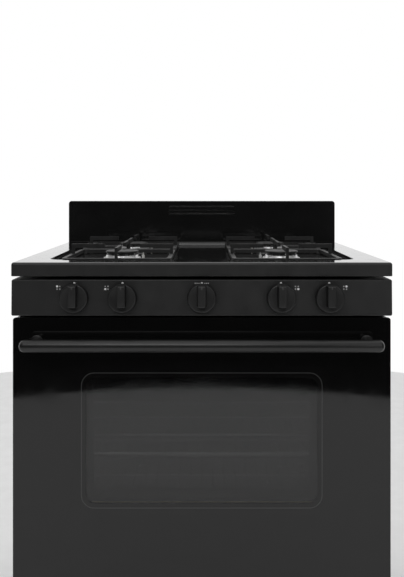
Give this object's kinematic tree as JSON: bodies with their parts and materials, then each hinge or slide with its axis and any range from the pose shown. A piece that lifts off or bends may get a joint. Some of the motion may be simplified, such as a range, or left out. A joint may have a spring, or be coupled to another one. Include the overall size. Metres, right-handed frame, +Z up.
{
  "type": "freestanding gas range",
  "caption": "Black freestanding gas range: front rotary controls, lift-off grates and burner caps, drop-down oven door, racks and a storage drawer.",
  "frame": {"origin": "on the floor, below the middle of the range's box, door handle included", "axes": "+Z up, the front faces -Y, +X to the viewer's right"},
  "size_m": [0.759, 0.69, 1.03],
  "materials": {
    "body_paint": "semi-gloss black",
    "panel_paint": "satin black",
    "cooktop_enamel": "glossy black porcelain enamel",
    "grate_enamel": "matte black enamel on cast iron",
    "cap_enamel": "matte black enamel",
    "burner_aluminium": "cast and turned",
    "tube_aluminium": "drawn tube",
    "cast_alloy": "die cast",
    "knob_plastic": "moulded, satin",
    "foot_plastic": "moulded",
    "galvanised_steel": "zinc coated sheet",
    "plated_steel": "zinc plated",
    "valve_brass": "machined",
    "ceramic": "glazed ceramic",
    "oven_enamel": "speckled dark enamel",
    "mineral_wool": "matted fibre",
    "gasket_braid": "braided glass fibre",
    "black_glass": "black backed glass, polished",
    "window_glass": "clear oven glass",
    "handle_paint": "satin black",
    "rack_chrome": "bright wire"
  },
  "bodies": {
    "root": {"side_panel_left": "body_paint", "side_panel_right": "body_paint", "back_panel": "galvanised_steel", "base_frame": "galvanised_steel", "leveling_feet": "foot_plastic", "front_frame": "body_paint", "hinge_receivers": "plated_steel", "drawer_rails": "plated_steel", "cooktop": "cooktop_enamel", "burner_box": "galvanised_steel", "backguard": "cooktop_enamel", "control_panel": "panel_paint", "manifold_pipe": "plated_steel", "burner_valves": "valve_brass", "oven_thermostat": "plated_steel", "gas_regulator": "cast_alloy", "gas_tubes": "tube_aluminium", "burner_bases": "burner_aluminium", "burner_igniters": "ceramic", "oven_cavity": "oven_enamel", "oven_floor": "oven_enamel", "oven_insulation": "mineral_wool", "oven_burner": "plated_steel", "broil_burner": "plated_steel", "oven_gasket": "gasket_braid", "flue_duct": "galvanised_steel", "cover_screws": "plated_steel"},
    "plug_left_rear": {"valve_plug_left_rear": "valve_brass"},
    "knob_left_rear": {"burner_knob_left_rear": "knob_plastic", "valve_stem_left_rear": "plated_steel"},
    "plug_left_front": {"valve_plug_left_front": "valve_brass"},
    "knob_left_front": {"burner_knob_left_front": "knob_plastic", "valve_stem_left_front": "plated_steel"},
    "plug_right_front": {"valve_plug_right_front": "valve_brass"},
    "knob_right_front": {"burner_knob_right_front": "knob_plastic", "valve_stem_right_front": "plated_steel"},
    "plug_right_rear": {"valve_plug_right_rear": "valve_brass"},
    "knob_right_rear": {"burner_knob_right_rear": "knob_plastic", "valve_stem_right_rear": "plated_steel"},
    "oven_control": {"oven_knob": "knob_plastic", "oven_stem": "plated_steel"},
    "cap_left_rear": {"burner_cap_left_rear": "cap_enamel"},
    "cap_left_front": {"burner_cap_left_front": "cap_enamel"},
    "cap_right_front": {"burner_cap_right_front": "cap_enamel"},
    "cap_right_rear": {"burner_cap_right_rear": "cap_enamel"},
    "pan_support_left_rear": {"grate_left_rear": "grate_enamel"},
    "pan_support_left_front": {"grate_left_front": "grate_enamel"},
    "pan_support_right_front": {"grate_right_front": "grate_enamel"},
    "pan_support_right_rear": {"grate_right_rear": "grate_enamel"},
    "door": {"door_frame": "body_paint", "door_glass": "black_glass", "door_insulation": "mineral_wool", "door_inner_glass": "window_glass", "door_liner": "oven_enamel", "door_handle": "handle_paint", "door_hinges": "plated_steel"},
    "drawer": {"drawer_front": "body_paint", "drawer_tray": "galvanised_steel"},
    "oven_rack_upper": {"rack_upper": "rack_chrome"},
    "oven_rack_lower": {"rack_lower": "rack_chrome"}
  },
  "joints": [
    {"name": "knob_turn_left_rear", "type": "hinge", "parent": "root", "child": "plug_left_rear", "pos_m": [-0.2532, -0.295, 0.844], "axis": [0, -1, 0], "range_deg": [0, 210]},
    {"name": "knob_push_left_rear", "type": "slide", "parent": "plug_left_rear", "child": "knob_left_rear", "axis": [0, 1, 0], "range_m": [0, 0.003], "stiffness_N_per_m": 1500, "springref_m": -0.002},
    {"name": "knob_turn_left_front", "type": "hinge", "parent": "root", "child": "plug_left_front", "pos_m": [-0.1574, -0.295, 0.844], "axis": [0, -1, 0], "range_deg": [0, 210]},
    {"name": "knob_push_left_front", "type": "slide", "parent": "plug_left_front", "child": "knob_left_front", "axis": [0, 1, 0], "range_m": [0, 0.003], "stiffness_N_per_m": 1500, "springref_m": -0.002},
    {"name": "knob_turn_right_front", "type": "hinge", "parent": "root", "child": "plug_right_front", "pos_m": [0.1574, -0.295, 0.844], "axis": [0, -1, 0], "range_deg": [0, 210]},
    {"name": "knob_push_right_front", "type": "slide", "parent": "plug_right_front", "child": "knob_right_front", "axis": [0, 1, 0], "range_m": [0, 0.003], "stiffness_N_per_m": 1500, "springref_m": -0.002},
    {"name": "knob_turn_right_rear", "type": "hinge", "parent": "root", "child": "plug_right_rear", "pos_m": [0.2532, -0.295, 0.844], "axis": [0, -1, 0], "range_deg": [0, 210]},
    {"name": "knob_push_right_rear", "type": "slide", "parent": "plug_right_rear", "child": "knob_right_rear", "axis": [0, 1, 0], "range_m": [0, 0.003], "stiffness_N_per_m": 1500, "springref_m": -0.002},
    {"name": "oven_knob_turn", "type": "hinge", "parent": "root", "child": "oven_control", "pos_m": [0, -0.295, 0.844], "axis": [0, -1, 0], "range_deg": [0, 290]},
    {"name": "cap_lift_left_rear", "type": "slide", "parent": "root", "child": "cap_left_rear", "axis": [0, 0, 1], "range_m": [0, 0.06]},
    {"name": "cap_lift_left_front", "type": "slide", "parent": "root", "child": "cap_left_front", "axis": [0, 0, 1], "range_m": [0, 0.06]},
    {"name": "cap_lift_right_front", "type": "slide", "parent": "root", "child": "cap_right_front", "axis": [0, 0, 1], "range_m": [0, 0.06]},
    {"name": "cap_lift_right_rear", "type": "slide", "parent": "root", "child": "cap_right_rear", "axis": [0, 0, 1], "range_m": [0, 0.06]},
    {"name": "grate_lift_left_rear", "type": "slide", "parent": "root", "child": "pan_support_left_rear", "axis": [0, 0, 1], "range_m": [0, 0.08]},
    {"name": "grate_lift_left_front", "type": "slide", "parent": "root", "child": "pan_support_left_front", "axis": [0, 0, 1], "range_m": [0, 0.08]},
    {"name": "grate_lift_right_front", "type": "slide", "parent": "root", "child": "pan_support_right_front", "axis": [0, 0, 1], "range_m": [0, 0.08]},
    {"name": "grate_lift_right_rear", "type": "slide", "parent": "root", "child": "pan_support_right_rear", "axis": [0, 0, 1], "range_m": [0, 0.08]},
    {"name": "door_hinge", "type": "hinge", "parent": "root", "child": "door", "pos_m": [0, -0.275, 0.218], "axis": [1, 0, 0], "range_deg": [0, 90], "stiffness_Nm_per_rad": 12, "springref_deg": -17.19},
    {"name": "drawer_slide", "type": "slide", "parent": "root", "child": "drawer", "axis": [0, -1, 0], "range_m": [0, 0.35]},
    {"name": "rack_slide_upper", "type": "slide", "parent": "root", "child": "oven_rack_upper", "axis": [0, -1, 0], "range_m": [0, 0.014]},
    {"name": "rack_slide_lower", "type": "slide", "parent": "root", "child": "oven_rack_lower", "axis": [0, -1, 0], "range_m": [0, 0.014]}
  ]
}
